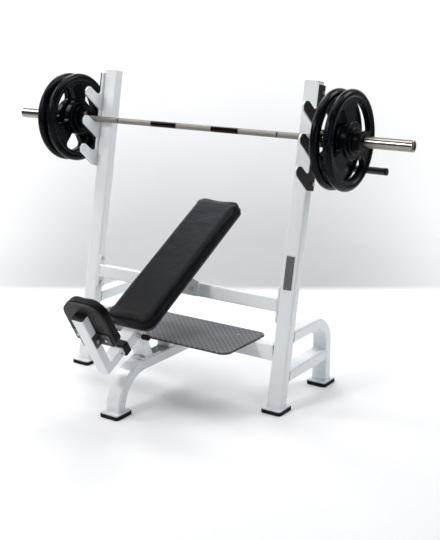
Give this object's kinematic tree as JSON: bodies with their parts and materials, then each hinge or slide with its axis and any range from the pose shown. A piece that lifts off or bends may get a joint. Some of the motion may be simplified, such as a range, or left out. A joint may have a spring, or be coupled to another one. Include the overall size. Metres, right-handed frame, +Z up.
{
  "type": "incline bench press",
  "caption": "Incline bench press on a white tube frame with leaning bar racks, a sliding seat, a spotter platform, a weight horn and a loaded bar",
  "frame": {"origin": "middle of the footprint's bounding box, on the floor", "axes": "+Z up, +X along the bar to the lifter's left hand when seated (right-hand end of the machine seen from the front), +Y towards the back of the bench"},
  "size_m": [2.2, 1.1589, 1.4619],
  "materials": {
    "white_paint": "gloss powder coat",
    "liner_plastic": "moulded rack liner",
    "white_plastic": "moulded plug",
    "black_plastic": "moulded",
    "black_paint": "satin powder coat",
    "black_rubber": "moulded rubber",
    "grey_mat": "raised diamond pattern",
    "pad_vinyl": "grained vinyl",
    "pad_board": "black-backed plywood",
    "zinc_steel": "zinc plated",
    "bar_chrome": "hard chrome",
    "clamp_steel": "black, satin",
    "clamp_black": "moulded",
    "badge_plate": "satin, plain"
  },
  "bodies": {
    "bench": {"upright_left": "white_paint", "upright_right": "white_paint", "rear_leg_left": "white_paint", "rear_leg_right": "white_paint", "side_brace_left": "white_paint", "side_brace_right": "white_paint", "cross_flange_left": "white_paint", "cross_flange_right": "white_paint", "hook_plate_left": "white_paint", "hook_plate_right": "white_paint", "upper_cross_tube": "white_paint", "lower_cross_tube": "white_paint", "spine_tube": "white_paint", "post_base_plate": "white_paint", "pad_post": "white_paint", "pad_rail": "white_paint", "rail_bracket": "white_paint", "horn_bracket": "white_paint", "platform_riser": "white_paint", "foot_plates": "white_paint", "hook_liner_left": "liner_plastic", "hook_liner_right": "liner_plastic", "upright_caps": "white_plastic", "pad_rail_cap": "black_plastic", "rail_bushing": "black_plastic", "horn_cap": "black_plastic", "platform_plate": "black_paint", "horn_tube": "black_paint", "foot_pads": "black_rubber", "platform_mat": "grey_mat", "back_pad": "pad_vinyl", "back_board": "pad_board", "cross_flange_bolts": "zinc_steel", "post_base_bolts": "zinc_steel", "rail_bracket_bolts": "zinc_steel", "back_pad_bolts": "zinc_steel", "hook_bolts": "zinc_steel", "platform_bolts": "zinc_steel", "pin_barrel": "zinc_steel", "blank_badge": "badge_plate"},
    "seat_carriage": {"seat_slide_tube": "white_paint", "seat_arm": "white_paint", "seat_arm_cap": "black_plastic", "seat_angles": "black_paint", "seat_bolts": "zinc_steel", "seat_board": "pad_board", "seat_pad": "pad_vinyl"},
    "pull_pin": {"pull_pin": "zinc_steel", "pin_knob": "black_plastic"},
    "bar": {"bar_shaft": "bar_chrome"},
    "sleeve_left": {"bar_sleeve_left": "bar_chrome"},
    "discs_left": {"disc_inner_left": "black_rubber", "disc_outer_left": "black_rubber"},
    "clamp_left": {"clamp_ring_left": "clamp_steel"},
    "lever_left": {"clamp_lever_left": "clamp_black"},
    "sleeve_right": {"bar_sleeve_right": "bar_chrome"},
    "discs_right": {"disc_inner_right": "black_rubber", "disc_outer_right": "black_rubber"},
    "clamp_right": {"clamp_ring_right": "clamp_steel"},
    "lever_right": {"clamp_lever_right": "clamp_black"}
  },
  "joints": [
    {"name": "bar_lift", "type": "slide", "parent": "bench", "child": "bar", "axis": [0, -0.7297, 0.6837], "range_m": [0, 0.25]},
    {"name": "seat_adjust", "type": "slide", "parent": "bench", "child": "seat_carriage", "axis": [0, 0.8721, 0.4894], "range_m": [-0.115, 0.0575]},
    {"name": "pin_pull", "type": "slide", "parent": "bench", "child": "pull_pin", "axis": [1, 0, 0], "range_m": [-0.012, 0]},
    {"name": "sleeve_spin_left", "type": "hinge", "parent": "bar", "child": "sleeve_left", "pos_m": [-0.9, 0.27618, 1.22664], "axis": [1, 0, 0], "continuous": true},
    {"name": "discs_slide_left", "type": "slide", "parent": "sleeve_left", "child": "discs_left", "axis": [-1, 0, 0], "range_m": [-0.004, 0.1]},
    {"name": "clamp_slide_left", "type": "slide", "parent": "discs_left", "child": "clamp_left", "axis": [-1, 0, 0], "range_m": [0, 0.1]},
    {"name": "lever_turn_left", "type": "hinge", "parent": "clamp_left", "child": "lever_left", "pos_m": [-0.8465, 0.30297, 1.24757], "axis": [-1, 0, 0], "range_deg": [0, 75]},
    {"name": "sleeve_spin_right", "type": "hinge", "parent": "bar", "child": "sleeve_right", "pos_m": [0.9, 0.27618, 1.22664], "axis": [1, 0, 0], "continuous": true},
    {"name": "discs_slide_right", "type": "slide", "parent": "sleeve_right", "child": "discs_right", "axis": [1, 0, 0], "range_m": [-0.026, 0.1]},
    {"name": "clamp_slide_right", "type": "slide", "parent": "discs_right", "child": "clamp_right", "axis": [1, 0, 0], "range_m": [0, 0.1]},
    {"name": "lever_turn_right", "type": "hinge", "parent": "clamp_right", "child": "lever_right", "pos_m": [0.8705, 0.30297, 1.24757], "axis": [-1, 0, 0], "range_deg": [0, 75]}
  ]
}
